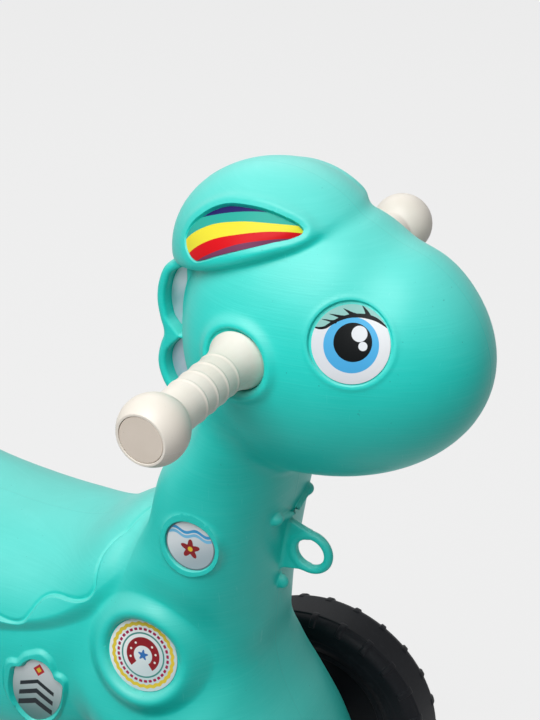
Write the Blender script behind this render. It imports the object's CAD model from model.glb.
"""The looks of a ride-on pony: one blown body, two ridged grips, four treaded wheels and printed stickers.

Metres. Shapes are worked out about the handle's axis on the mid-plane, with +X forward, +Y to the animal's
left and +Z up, and are moved to where the frame's handle rod lies when their meshes are made.
"""

import math

import bpy
import numpy as np
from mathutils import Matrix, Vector


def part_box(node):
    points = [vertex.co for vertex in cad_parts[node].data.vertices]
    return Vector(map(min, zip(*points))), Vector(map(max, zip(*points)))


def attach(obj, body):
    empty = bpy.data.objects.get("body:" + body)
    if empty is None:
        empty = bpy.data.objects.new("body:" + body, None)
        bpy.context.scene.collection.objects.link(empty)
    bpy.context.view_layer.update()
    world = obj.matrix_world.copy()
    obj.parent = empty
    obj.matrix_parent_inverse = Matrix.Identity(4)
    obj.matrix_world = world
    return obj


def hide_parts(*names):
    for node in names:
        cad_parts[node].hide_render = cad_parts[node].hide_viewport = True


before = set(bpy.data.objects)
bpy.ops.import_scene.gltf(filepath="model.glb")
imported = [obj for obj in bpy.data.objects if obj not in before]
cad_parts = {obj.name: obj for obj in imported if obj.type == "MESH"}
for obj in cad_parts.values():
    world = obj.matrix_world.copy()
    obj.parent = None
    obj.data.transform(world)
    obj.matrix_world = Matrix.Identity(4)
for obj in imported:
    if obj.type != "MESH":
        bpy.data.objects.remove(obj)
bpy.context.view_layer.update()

# Where the frame's pieces lie
HANDLE = np.array(sum(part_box("handle_rod"), Vector()) / 2)
AXLES = {end: np.array(sum(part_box(end + "_axle"), Vector()) / 2) - HANDLE for end in ("front", "rear")}
AXLE_Z = AXLES["front"][2]
FRONT_X = AXLES["front"][0]
REAR_X = AXLES["rear"][0]
AXLE_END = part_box("front_axle")[1].y
SIDES = {"right": -1, "left": 1}
TYRE_LOW, TYRE_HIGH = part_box("front_left_tyre")
TRACK_HALF = (TYRE_LOW.y + TYRE_HIGH.y) / 2

# Body
HEAD_CENTRE = (0.0079, 0.0, -0.0093)
HEAD_FRONT = 0.1218
HEAD_REAR = 0.0740
HEAD_HALF_WIDTH = 0.0713
HEAD_HALF_HEIGHT = 0.0883
NOSE_FLAT = 0.0040
NOSE_FLAT_AT = 0.0680
LOBE_CENTRE = (-0.0083, 0.0, 0.0430)
LOBE_HALF_SIZES = (0.0665, 0.0580, 0.0538)
LOBE_TILT = math.radians(4.7)
LOBE_FLAT = 0.0014
LOBE_FLAT_AT = 0.0400
BRIM_MIDDLE = (-0.0100, 0.0, 0.0500)
BRIM_SLOPE = math.radians(21.0)
BRIM_ROLL = 0.0100
LEG_HALF_WIDTH = 0.0840
LEG_GAP_HALF_WIDTH = 0.0220
LEG_GAP_ABOVE_AXLE = 0.0400
BOSS_RADIUS = 0.0220
BOSS_FACE = 0.0860
BOSS_ROOT = 0.0600
BARREL_MIDDLE = -0.2650
BARREL_ROUND = 0.0800
BELLY_ABOVE_AXLE = 0.0200
BELLY_SQUARENESS = 3.0
FLANK_SUNK = 0.0042
SKIRT_STAND = 0.0021
SADDLE_MIDDLE = -0.2250
SEAM_STAND = 0.00008
SEAM_SPREAD = 0.00045
HOOF_TOP = AXLE_Z - 0.0160
HOOF_STAND = 0.0014

# Hair and tail
MANE_HALF_WIDTH = 0.0240
MANE_ROLL = 0.0040
MANE_POCKET = 0.0090
MANE_RIM = 0.0062
MANE_WAIST = -0.0207
MANE_BRIDGE = 0.0015
TAIL_HALF_WIDTH = 0.0260
RUMP_TOP = AXLE_Z * 0.440

# Handle
CLEARANCE = 0.0003
FLARE_RADIUS = 0.0184
FLARE_HOLE = 0.0190
FLARE_SEAT = 0.0670
ROD_RADIUS = 0.0080
GRIP_RADIUS = 0.0134
GRIP_RIDGE = 0.0005
GRIP_RIDGES = (0.0890, 0.1005, 0.1120, 0.1235)
KNOB_CENTRE = 0.1580
KNOB_RADIUS = 0.0204
KNOB_END = 0.0133
CAP_RADIUS = 0.01375
CAP_THICKNESS = 0.0034
COLLAR_CREST = 0.0226
COLLAR_STAND = 0.0026

# Tow eye
TOW_CENTRE = (0.0147, -0.1667)
TOW_RING_RADIUS = 0.0128
TOW_BAR_RADIUS = 0.0031
TOW_HOLE_RADIUS = 0.0098
TOW_WEB_HALF = 0.0025

# Prints
PRINT = 0.0005
PRINT_GAP = 0.00004
EYE_RADIUS = 0.0223
NECK_BADGE_RADIUS = 0.0170
SHOULDER_BADGE_RADIUS = 0.0250
SEAT_ROOM = 0.0004
SEAT_COLLAR = 0.0030
SEAT_EDGE = 0.0010
SHOULDER_CREST = 0.0058
SHOULDER_CREST_RADIUS = 0.0312

# Running gear
TYRE_HALF_WIDTH = 0.0185
TYRE_BORE = 0.0580
TYRE_BEAD_HALF_WIDTH = 0.0150
CARCASS_RADIUS = 0.0869
BAND_STAND = 0.0008
LUGS = 24
LUG_STAND = 0.0005
AXLE_RADIUS = 0.0050
AXLE_ROOM = 0.0010
BUSH_RADIUS = 0.0090
BUSH_HOLE_RADIUS = 0.0093
BUSH_HOLE_START = 0.0700
BUSH_FLANGE_RADIUS = 0.0130
BUSH_FLANGE = 0.0030
BUSH_DEPTH = 0.0160
HUB_WEB = 0.0060
HUB_RIM = 0.0060
HUB_BOSS_RADIUS = 0.0140
HUB_BOSS_OUTBOARD = 0.0100
HUB_CAP_RADIUS = 0.0270

# Numbers on whole arrays


def fade(value, low, high):
    """Rises smoothly from 0 at low to 1 at high: 3t^2 - 2t^3."""
    t = np.clip((value - low) / (high - low), 0.0, 1.0)
    return t * t * (3.0 - 2.0 * t)


def bump(value, middle, spread):
    """A bell of height 1 about the middle: exp(-((value - middle) / spread)^2)."""
    return np.exp(-(((value - middle) / spread) ** 2))


def melt(a, b, blend):
    """The nearer of two forms, with a fillet where their distances differ by less than blend."""
    near = np.maximum(blend - np.abs(a - b), 0.0) / blend
    return np.minimum(a, b) - near * near * blend / 4.0


def carve(a, b, blend):
    """Form a without form b, the edge between them rounded."""
    return -melt(-a, b, blend)


def spline(knots, values, at):
    """A smooth curve through rows of values at rising knots, held still beyond its ends (cubic Hermite)."""
    knots = np.asarray(knots, float)
    values = np.asarray(values, float)
    slopes = np.gradient(values, knots, axis=0)
    at = np.clip(at, knots[0], knots[-1])
    i = np.clip(np.searchsorted(knots, at) - 1, 0, len(knots) - 2)
    width = (knots[i + 1] - knots[i])[:, None]
    t = (at - knots[i])[:, None] / width
    start = (1 + 2 * t) * (1 - t) ** 2 * values[i] + t * (1 - t) ** 2 * width * slopes[i]
    return start + t * t * (3 - 2 * t) * values[i + 1] + t * t * (t - 1) * width * slopes[i + 1]


def run_along(points):
    """How far each point of a line lies along it."""
    return np.concatenate([[0.0], np.cumsum(np.linalg.norm(np.diff(points, axis=0), axis=1))])


def rounded(corners, count, closed=True):
    """Points along a smooth curve through the corners, spaced by the corners' own distances."""
    corners = np.asarray(corners, float)
    if closed:
        corners = np.vstack([corners[-3:], corners, corners[:4]])
    reach = run_along(corners)
    low, high = (reach[3], reach[-4]) if closed else (reach[0], reach[-1])
    return spline(reach, corners, np.linspace(low, high, count, endpoint=not closed))


def outline_distance(u, v, outline):
    """Distance to a closed outline, negative inside: the least over its sides, signed by crossings."""
    u, v = np.ravel(u), np.ravel(v)
    least = np.full(u.shape, np.inf)
    inside = np.zeros(u.shape, bool)
    for (x0, y0), (x1, y1) in zip(outline, np.roll(outline, -1, axis=0)):
        dx, dy = x1 - x0, y1 - y0
        t = np.clip(((u - x0) * dx + (v - y0) * dy) / (dx * dx + dy * dy + 1e-18), 0.0, 1.0)
        least = np.minimum(least, (u - x0 - t * dx) ** 2 + (v - y0 - t * dy) ** 2)
        crosses = ((y0 > v) != (y1 > v)) & (u < x0 + dx * (v - y0) / (dy if abs(dy) > 1e-15 else 1e-15))
        inside ^= crosses
    return np.where(inside, -1.0, 1.0) * np.sqrt(least)


class Chart:
    """The distance to a closed outline, worked out once on a fine grid and read between its samples."""

    def __init__(self, outline, margin=0.014, pitch=0.0005):
        self.outline = outline
        self.low = outline.min(axis=0) - margin
        self.pitch = pitch
        counts = np.ceil((outline.max(axis=0) + margin - self.low) / pitch).astype(int) + 1
        grid = np.meshgrid(*(low + pitch * np.arange(n) for low, n in zip(self.low, counts)), indexing="ij")
        self.table = outline_distance(grid[0], grid[1], outline).reshape(counts)

    def __call__(self, u, v):
        places = [np.clip((c - low) / self.pitch, 0, n - 1.001)
                  for c, low, n in zip((u, v), self.low, self.table.shape)]
        (i, a), (j, b) = ((np.floor(p).astype(int), p - np.floor(p)) for p in places)
        near = self.table[i, j] * (1 - a) + self.table[i + 1, j] * a
        far = self.table[i, j + 1] * (1 - a) + self.table[i + 1, j + 1] * a
        return near * (1 - b) + far * b


# Forms of the body, each as the distance from its skin, negative inside


def ellipsoid(x, y, z, centre, sizes):
    """Distance to a stretched ball, near enough: k0 (k0 - 1) / k1 with k0 = |p / r| and k1 = |p / r^2|."""
    offsets = [c - m for c, m in zip((x, y, z), centre)]
    k0 = np.sqrt(sum((o / r) ** 2 for o, r in zip(offsets, sizes)))
    k1 = np.sqrt(sum((o / r ** 2) ** 2 for o, r in zip(offsets, sizes)))
    return k0 * (k0 - 1.0) / np.maximum(k1, 1e-6)


def head(x, y, z):
    """The long rounded head, a little flatter along the top of its nose."""
    length = np.where(x > HEAD_CENTRE[0], HEAD_FRONT, HEAD_REAR)
    flatter = NOSE_FLAT * bump(x, NOSE_FLAT_AT, 0.017) * fade(z, 0.000, 0.042)
    return ellipsoid(x, y, z, HEAD_CENTRE, (length, HEAD_HALF_WIDTH, HEAD_HALF_HEIGHT)) + flatter


def lobe(x, y, z):
    """The swept forelock: a tilted ball, rolled in where a sloping plane cuts it off below."""
    dx, dz = x - LOBE_CENTRE[0], z - LOBE_CENTRE[2]
    turn_cos, turn_sin = math.cos(LOBE_TILT), math.sin(LOBE_TILT)
    along, across = dx * turn_cos + dz * turn_sin, dz * turn_cos - dx * turn_sin
    ball = ellipsoid(along, y, across, (0, 0, 0), LOBE_HALF_SIZES) + LOBE_FLAT * bump(x, LOBE_FLAT_AT, 0.030)
    above = (z - BRIM_MIDDLE[2]) * math.cos(BRIM_SLOPE) - (x - BRIM_MIDDLE[0]) * math.sin(BRIM_SLOPE)
    return carve(ball, above, BRIM_ROLL)


def trunk(sections, along, side, across, roll, low_power=None):
    """Distance to a stack of superellipses, (|u|^n + |v|^n)^(1/n) = 1, whose sizes follow a spline.

    Below a section's middle its power gives way to low_power, if there is one.
    """
    table = np.asarray(sections, float)
    order = np.argsort(table[:, 0])
    table = table[order]
    high, low, half_width, power = spline(table[:, 0], table[:, 1:], along).T
    half = (high - low) / 2
    above = across - (high + low) / 2
    if low_power:
        power = np.where(above < 0, low_power, power)
    u = np.abs(above) / half + 1e-5
    v = np.abs(side) / half_width + 1e-5
    total = u ** power + v ** power
    size = total ** (1 / power)
    slope = np.hypot(u ** (power - 1) / half, v ** (power - 1) / half_width) * total ** (1 / power - 1)
    skin = (size - 1.0) / slope
    ends = np.abs(along - (table[0, 0] + table[-1, 0]) / 2) - (table[-1, 0] - table[0, 0]) / 2
    return -melt(-skin, -ends, roll)


def column_sections():
    """Neck, chest and front legs: height, front, rear, half width, squareness."""
    x, w = FRONT_X, LEG_HALF_WIDTH
    return [
        (-0.040, 0.012, -0.048, 0.050, 2.1),
        (-0.075, 0.010, -0.058, 0.057, 2.1),
        (-0.110, 0.006, -0.079, 0.061, 2.3),
        (-0.165, -0.004, -0.096, 0.064, 2.4),
        (-0.222, -0.010, -0.150, 0.80 * w, 2.4),
        (-0.250, -0.011, -0.165, 0.87 * w, 2.5),
        (-0.280, -0.003, -0.160, 0.94 * w, 2.6),
        (AXLE_Z + 0.075, x + 0.041, x - 0.106, 0.98 * w, 2.7),
        (AXLE_Z + 0.045, x + 0.053, x - 0.066, w, 2.8),
        (AXLE_Z, x + 0.062, x - 0.050, w, 3.0),
        (AXLE_Z - 0.030, x + 0.046, x - 0.042, w, 3.0),
        (AXLE_Z - 0.042, x + 0.036, x - 0.036, 0.97 * w, 3.0),
    ]


def torso_sections():
    """Saddle, belly and rump: length, top, underside, half width, squareness."""
    front, rear, w = FRONT_X, REAR_X, LEG_HALF_WIDTH
    belly = AXLE_Z + BELLY_ABOVE_AXLE
    return [
        (front - 0.006, -0.225, belly + 0.073, 0.50 * w, 2.3),
        (front - 0.036, -0.184, belly + 0.038, 0.70 * w, 2.4),
        (front - 0.078, -0.165, belly + 0.022, 0.84 * w, 2.5),
        (front - 0.118, -0.187, belly + 0.002, 0.96 * w, 2.5),
        (front - 0.159, -0.193, belly, 1.02 * w, 2.5),
        (rear + 0.130, -0.192, belly, 1.04 * w, 2.4),
        (rear + 0.085, -0.186, belly + 0.006, 1.03 * w, 2.3),
        (rear + 0.045, -0.176, belly + 0.018, 1.01 * w, 2.25),
        (rear + 0.010, RUMP_TOP, belly + 0.030, 0.99 * w, 2.25),
        (rear - 0.022, -0.176, belly + 0.042, 0.90 * w, 2.2),
        (rear - 0.044, -0.191, -0.3025, 0.72 * w, 2.2),
        (rear - 0.056, -0.213, -0.2726, 0.42 * w, 2.1),
    ]


def haunch_sections():
    """Rear legs: height, front, rear, half width, squareness."""
    x, w = REAR_X, LEG_HALF_WIDTH
    return [
        (-0.1995, x + 0.040, x - 0.035, 0.60 * w, 2.3),
        (-0.2595, x + 0.066, x - 0.052, 0.93 * w, 2.4),
        (AXLE_Z + 0.065, x + 0.064, x - 0.056, w, 2.6),
        (AXLE_Z + 0.030, x + 0.054, x - 0.052, w, 3.0),
        (AXLE_Z, x + 0.050, x - 0.048, w, 3.0),
        (AXLE_Z - 0.030, x + 0.042, x - 0.044, w, 3.0),
        (AXLE_Z - 0.042, x + 0.034, x - 0.036, 0.97 * w, 3.0),
    ]


def tail_sections():
    """The hanging tail: height, front, rear, half width, squareness."""
    x, top, w = REAR_X, RUMP_TOP, TAIL_HALF_WIDTH
    return [
        (top + 0.004, x - 0.008, x - 0.036, 0.50 * w, 2.0),
        (top - 0.006, x - 0.006, x - 0.055, 0.76 * w, 2.1),
        (top - 0.024, x - 0.014, x - 0.071, 0.94 * w, 2.3),
        (top - 0.048, x - 0.022, x - 0.078, w, 2.4),
        (top - 0.074, x - 0.026, x - 0.071, 0.90 * w, 2.4),
        (top - 0.098, x - 0.028, x - 0.076, 0.98 * w, 2.4),
        (top - 0.124, x - 0.028, x - 0.077, 0.96 * w, 2.3),
        (top - 0.148, x - 0.030, x - 0.066, 0.76 * w, 2.1),
        (top - 0.164, x - 0.036, x - 0.052, 0.36 * w, 2.0),
    ]


# Outlines seen from the side, forward and up
MANE_OUTLINE = Chart(rounded((
    (-0.025, 0.044), (-0.0550, 0.036), (-0.0670, 0.0315), (-0.0757, 0.0250), (-0.0805, 0.0145),
    (-0.0823, 0.0010), (-0.0805, -0.0110), (-0.0783, -0.0195), (-0.0783, -0.0219), (-0.0808, -0.0290),
    (-0.0831, -0.0415), (-0.0805, -0.0530), (-0.0720, -0.0650), (-0.0600, -0.0740), (-0.030, -0.0860),
    (-0.010, -0.020)), 200))
# The saddle's edges: forward, and round the barrel from the mid-plane
SADDLE_EDGE = (
    (-0.0980, 0.0040), (-0.1015, -0.0080), (-0.1030, -0.0180), (-0.1040, -0.0255), (-0.1093, -0.0344),
    (-0.1121, -0.0413), (-0.1129, -0.0478), (-0.1123, -0.0546), (-0.1118, -0.0605), (-0.1148, -0.0665),
    (-0.1213, -0.0704), (-0.1300, -0.0718), (-0.1382, -0.0718), (-0.1449, -0.0731), (-0.1498, -0.0765),
    (-0.1532, -0.0815), (-0.1569, -0.0886), (-0.1606, -0.0943), (-0.1657, -0.0972), (-0.1706, -0.0981),
    (-0.1748, -0.0981), (-0.1795, -0.0976), (-0.1900, -0.0945), (-0.2000, -0.0918), (-0.2120, -0.0903),
    (-0.2250, -0.0900),
)
SKIRT_EDGE = (
    (-0.0820, 0.0040), (-0.0838, -0.0150), (-0.0847, -0.0357), (-0.0855, -0.0440), (-0.0890, -0.0512),
    (-0.0955, -0.0590), (-0.1045, -0.0685), (-0.1135, -0.0772), (-0.1263, -0.0866), (-0.1442, -0.0965),
    (-0.1626, -0.1030), (-0.1775, -0.1066), (-0.2000, -0.1100), (-0.2250, -0.1112),
)


def over_the_back(edge, count):
    """A closed chart of what lies above an edge that is the same before and behind the saddle's middle."""
    front = rounded(edge, count, closed=False)
    rear = front[-2::-1] * (-1, 1) + (2 * SADDLE_MIDDLE, 0)
    lid = np.array([(rear[-1][0], 0.02), (front[0][0], 0.02)])
    return Chart(np.vstack([front, rear, lid]), pitch=0.0006)


SADDLE = over_the_back(SADDLE_EDGE, 130)
SKIRT = over_the_back(SKIRT_EDGE, 70)
STRIPE_OUTLINE = Chart(rounded((
    (-0.0290, -0.0210), (-0.0330, -0.0198), (-0.0366, -0.0170), (-0.0400, -0.0125), (-0.0410, -0.0086),
    (-0.0385, -0.0017), (-0.0312, 0.0053), (-0.0249, 0.0097), (-0.0166, 0.0132), (-0.0042, 0.0147),
    (0.0087, 0.0149), (0.0196, 0.0136), (0.0290, 0.0112), (0.0306, 0.0100), (0.0306, 0.0086),
    (0.0285, 0.0060), (0.0171, -0.0014), (0.0036, -0.0086), (-0.0145, -0.0167), (-0.0250, -0.0203)), 160))
SHIELD_HALF = (
    (0.0000, -0.0350), (0.0095, -0.0290), (0.0150, -0.0210), (0.0178, -0.0110), (0.0182, 0.0000),
    (0.0170, 0.0078), (0.0118, 0.0104), (0.0088, 0.0158), (0.0050, 0.0195))
# The outer foot of the raised border about the shield, starting at its top
SHIELD_BORDER = (
    (0.0009, 0.0298), (0.0048, 0.0287), (0.0088, 0.0256), (0.0113, 0.0210), (0.0134, 0.0168),
    (0.0182, 0.0158), (0.0210, 0.0132), (0.0224, 0.0068), (0.0220, -0.0029), (0.0207, -0.0131),
    (0.0190, -0.0210), (0.0150, -0.0290), (0.0070, -0.0360), (-0.0024, -0.0382), (-0.0090, -0.0345),
    (-0.0142, -0.0292), (-0.0184, -0.0242), (-0.0223, -0.0178), (-0.0248, -0.0095), (-0.0256, -0.0027),
    (-0.0254, 0.0057), (-0.0238, 0.0112), (-0.0210, 0.0138), (-0.0163, 0.0153), (-0.0146, 0.0183),
    (-0.0120, 0.0225), (-0.0084, 0.0255),
)
SHIELD_ROLL = math.radians(-10.0)


def rolled(flat, angle):
    """Points of a plane turned about its middle, leftwards for a positive angle."""
    flat = np.asarray(flat, float)
    turn = np.array(((math.cos(angle), math.sin(angle)), (-math.sin(angle), math.cos(angle))))
    return flat @ turn


SHIELD_UPRIGHT = rounded(SHIELD_HALF + tuple((-u, v) for u, v in SHIELD_HALF[:0:-1]), 220)
SHIELD_OUTLINE = Chart(rolled(SHIELD_UPRIGHT, SHIELD_ROLL))
SHIELD_FOOT = Chart(rolled(rounded(SHIELD_BORDER, 220), SHIELD_ROLL))

# Where each print lies on the right side: its middle and the way it faces
EYE_PLACE = ((0.0668, -0.0571, 0.0213), (0.319, -0.893, 0.318))
STRIPE_PLACE = ((-0.0060, -0.0460, 0.0700), (-0.020, -0.800, 0.600))
NECK_BADGE_PLACE = ((-0.0385, -0.0625, -0.1430), (0.050, -0.995, 0.080))
SHOULDER_BADGE_PLACE = ((-0.0720, -0.0695, -0.2345), (0.060, -0.970, 0.240))
SHIELD_PLACE = ((-0.1536, -0.0790, -0.2830), (0.080, -0.990, -0.050))


def place_axes(place):
    """Forward, up and outward directions of a print's place, each square to the others."""
    outward = np.array(place[1]) / np.linalg.norm(place[1])
    forward = np.cross((0.0, 0.0, 1.0), outward)
    forward = forward / np.linalg.norm(forward)
    return forward, np.cross(outward, forward), outward


def on_place(x, y, z, place):
    """Coordinates of points along the axes of a place: forward, up and outward."""
    offsets = [c - m for c, m in zip((x, y, z), place[0])]
    return [sum(o * a for o, a in zip(offsets, axis)) for axis in place_axes(place)]


def over_place(x, y, z, place, reach, relief):
    """The height that relief(u, v) gives near a place, and nothing further away than reach."""
    u, v, w = on_place(x, y, z, place)
    near = (np.abs(u) < reach) & (np.abs(v) < reach) & (np.abs(w) < 0.045)
    height = np.zeros(x.shape)
    height[near] = relief(u[near], v[near])
    return height


def eye_relief(u, v):
    """A round recess, deepest towards the top rear, inside a faint raised rim."""
    radius = np.hypot(u, v)
    lean = (v - u) / (math.sqrt(2.0) * EYE_RADIUS)
    depth = 0.0013 + 0.0009 * lean
    wide = EYE_RADIUS + 0.0006 + 0.0010 * np.clip(lean, 0.0, 1.0)
    return 0.0004 * bump(radius, wide + 0.0026, 0.0014) - depth * (1.0 - fade(radius, wide, wide + 0.0012))


def stripe_relief(u, v):
    """The forelock's pocket with its rounded rim, and the soft ridge that runs forward from its top."""
    distance = STRIPE_OUTLINE(u, v)
    top = fade(v + 0.35 * u, -0.024, 0.002)
    floor = -(0.0009 + 0.0021 * top) * (1.0 - fade(distance, 0.0000, 0.0012))
    rim = (0.0003 + 0.0011 * top) * bump(distance, 0.0048, 0.0032)
    crest = np.interp(u, (-0.030, -0.010, 0.010, 0.030, 0.052), (0.0200, 0.0240, 0.0225, 0.0165, 0.006))
    ridge = 0.0006 * bump(v, crest, 0.0050) * fade(u, -0.028, 0.0) * (1.0 - fade(u, 0.040, 0.060))
    return floor + rim + ridge


def shoulder_ring_relief(u, v):
    """A thick round ring: a quarter ellipse up from its middle's level, a long soft slope down to a shallow
    dip, and two small marks in its inner wall."""
    radius = np.hypot(u, v)
    dip, width = 0.0016, 0.0053
    inward = np.clip(SHOULDER_CREST_RADIUS - radius, 0.0, 1.0) / width
    rise = np.sqrt(np.clip(1.0 - inward ** 2, 0.0, 1.0))
    fall = (SHOULDER_CREST + dip) * fade(radius, SHOULDER_CREST_RADIUS, 0.0445)
    fall = fall - dip * fade(radius, 0.0440, 0.0640)
    mark = bump(np.abs(u), 0.0272, 0.0006) * bump(v, 0.0, 0.0005)
    return SHOULDER_CREST * rise - fall * rise - 0.0006 * mark


def shield_relief(u, v):
    """A sunk seat inside a raised border with a round outer slope."""
    distance = SHIELD_OUTLINE(u, v)
    border = fade(distance, 0.0002, 0.0020) * (1.0 - fade(SHIELD_FOOT(u, v), -0.0026, 0.0010))
    return 0.0026 * border - 0.0012 * (1.0 - fade(distance, -0.0002, 0.0008))


RELIEFS = (
    (EYE_PLACE, 0.030, eye_relief),
    (SHOULDER_BADGE_PLACE, 0.064, shoulder_ring_relief),
    (SHIELD_PLACE, 0.046, shield_relief),
)


def with_flat_seat(body, x, y, z, place, radius, floor, lip, blend):
    """The body with a flat round seat for a print, sunk into the skin or standing on a collar."""
    u, v, w = on_place(x, y, z, place)
    reach, wide = np.hypot(u, v), radius + SEAT_ROOM
    collar = np.maximum(np.maximum(reach - wide - SEAT_COLLAR, w - floor - lip), -0.012 - w)
    return carve(melt(body, collar, blend), np.maximum(reach - wide, floor - w), SEAT_EDGE)


def extruded(chart_distance, side, half_width, roll):
    """An outline in the side view, half_width thick either way, with its long edges rounded by roll."""
    a, b = chart_distance + roll, side - half_width + roll
    return np.hypot(np.maximum(a, 0.0), np.maximum(b, 0.0)) + np.minimum(np.maximum(a, b), 0.0) - roll


def smaller(a, b, blend):
    """What two forms share, the edge between them rounded."""
    return -melt(-a, -b, blend)


def mane_pocket(x, z, part):
    """A crescent between the mane's rim and the head, part +1 above the waist's bridge and -1 below it."""
    clear = 0.0021 - head(x, -MANE_HALF_WIDTH, z)
    bridge = MANE_BRIDGE + 1.1 * np.clip(-0.0665 - x, 0.0, 0.02) - part * (z - MANE_WAIST)
    pocket = smaller(MANE_OUTLINE(x, z) + MANE_RIM, np.maximum(clear, x + 0.0600), 0.0015)
    return smaller(pocket, bridge, 0.0020)


def mane(x, side, z):
    """The scalloped crest with a pocket sunk into each side above and below its waist."""
    crest = extruded(MANE_OUTLINE(x, z), side, MANE_HALF_WIDTH, MANE_ROLL)
    for part in (1, -1):
        sunk = np.maximum(mane_pocket(x, z, part), MANE_HALF_WIDTH - MANE_POCKET - side)
        crest = carve(crest, sunk, 0.0030)
    return crest


def tow_eye(x, side, z):
    """A round bar bent into an eye on the parting line, on a flat root."""
    dx, dz = x - TOW_CENTRE[0], z - TOW_CENTRE[1]
    ring = np.hypot(np.hypot(dx, dz) - TOW_RING_RADIUS, side) - TOW_BAR_RADIUS
    flare = np.where(dz > 0, 0.34, 0.20) * np.clip(-dx, 0.0, 0.03)
    root = np.maximum(np.abs(dz - 0.0012) - 0.0146 - flare, np.abs(dx + 0.0160) - 0.0160)
    web = extruded(root, side, TOW_WEB_HALF, 0.0015)
    return carve(melt(ring, web, 0.0015), np.hypot(dx, dz) - TOW_HOLE_RADIUS, 0.0012)


def bar(x, side, z, start, stop, thin, thick):
    """Distance to a bar between two points that thickens from one to the other."""
    run = np.subtract(stop, start)
    offset = (x - start[0], side - start[1], z - start[2])
    share = np.clip(sum(o * r for o, r in zip(offset, run)) / (run @ run), 0.0, 1.0)
    return np.sqrt(sum((o - share * r) ** 2 for o, r in zip(offset, run))) - thin - (thick - thin) * share


def chest_beads(x, side, z):
    """Two beads on the breast joined by a thin bar over the tow eye, and one bead below it."""
    thin = bar(x, side, z, (0.0036, 0.0, -0.1402), (0.0014, 0.0195, -0.1348), 0.0012, 0.0026)
    bead = ellipsoid(x, side, z, (0.0004, 0.0212, -0.1343), (0.0048, 0.0046, 0.0042))
    below = ellipsoid(x, side, z, (-0.0060, 0.0, -0.1962), (0.0046, 0.0038, 0.0052))
    return melt(melt(thin, bead, 0.0025), below, 0.001)


def leg_gap(side, z):
    """The arch between the legs of a pair: a slot with a round top."""
    top = AXLE_Z + LEG_GAP_ABOVE_AXLE - LEG_GAP_HALF_WIDTH
    return np.hypot(side, np.maximum(z - top, 0.0)) - LEG_GAP_HALF_WIDTH


def hoof_height(z):
    """How far a hoof stands out from its leg, with a small step at its top."""
    return HOOF_STAND * (1.0 - fade(z, HOOF_TOP - 0.0010, HOOF_TOP + 0.0004))


def shell(points):
    """Distance from the body's skin: forms melted together, then raised, sunk and cut by what is on it."""
    x, z = points[:, 0], points[:, 2]
    side = np.abs(points[:, 1])
    y = -side
    chest = trunk(column_sections(), z, side, x, 0.006) - hoof_height(z)
    around = -BARREL_ROUND * np.arctan2(side, z - BARREL_MIDDLE)
    saddle, skirt = SADDLE(x, around), SKIRT(x, around)
    above = 1.0 - fade(skirt, -0.0095, 0.0010)
    band = SKIRT_STAND * fade(saddle, -0.0008, 0.0014) - 0.0008 * bump(saddle, -0.0014, 0.0012)
    barrel = trunk(torso_sections(), x, side, z, 0.020, BELLY_SQUARENESS)
    barrel = barrel + FLANK_SUNK * (1.0 - above) - band * above
    rump = trunk(haunch_sections(), z, side, x, 0.006) - hoof_height(z)
    tail = trunk(tail_sections(), z, side, x, 0.006)

    crown = lobe(x, y, z) - over_place(x, y, z, STRIPE_PLACE, 0.066, stripe_relief)
    joined = (
        (chest, 0.010), (barrel, 0.007), (rump, 0.016), (tail, 0.006), (mane(x, side, z), 0.0018),
        (crown, 0.0036), (tow_eye(x, side, z), 0.0034), (chest_beads(x, side, z), 0.0022),
    )
    body = head(x, y, z)
    for form, fillet in joined:
        body = melt(body, form, fillet)

    for place, reach, relief in RELIEFS:
        body = body - over_place(x, y, z, place, reach, relief)
    body = with_flat_seat(body, x, y, z, NECK_BADGE_PLACE, NECK_BADGE_RADIUS, -0.0020, 0.0014, 0.0050)
    body = with_flat_seat(body, x, y, z, SHOULDER_BADGE_PLACE, SHOULDER_BADGE_RADIUS, -0.0012, 0.0004, 0.0010)
    from_bar = np.hypot(x, z)
    body = body - COLLAR_STAND * bump(from_bar, COLLAR_CREST, 0.0037) * fade(side, 0.040, 0.055)
    body = body - SEAM_STAND * bump(side, 0.0, SEAM_SPREAD)

    body = carve(body, np.maximum(from_bar - FLARE_HOLE, FLARE_SEAT - CLEARANCE - side), 0.0026)
    body = carve(body, from_bar - ROD_RADIUS - CLEARANCE, 0.0006)
    body = carve(body, leg_gap(side, z), 0.0060)
    for centre in AXLES.values():
        from_axle = np.hypot(x - centre[0], z - AXLE_Z)
        boss = np.maximum(np.maximum(from_axle - BOSS_RADIUS, side - BOSS_FACE), BOSS_ROOT - side)
        body = melt(body, boss, 0.0030)
        body = carve(body, np.maximum(from_axle - BUSH_HOLE_RADIUS, BUSH_HOLE_START - side), 0.0005)
        body = carve(body, from_axle - AXLE_RADIUS - AXLE_ROOM, 0.0005)
    return body


# Nets over a form


def slopes(points, form, reach=0.00012):
    """How fast a form's distance grows along X, Y and Z, from samples either side of each point."""
    steps = np.eye(3) * reach
    return np.stack([(form(points + s) - form(points - s)) / (2 * reach) for s in steps], axis=1)


def settle(points, form, rounds):
    """Moves points onto a form's skin, each by its distance against its slope."""
    for _ in range(rounds):
        slope = slopes(points, form)
        length = np.maximum((slope ** 2).sum(axis=1), 0.05)
        move = np.clip(form(points) / length, -0.0015, 0.0015)
        points = points - slope * move[:, None]
    return points


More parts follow.
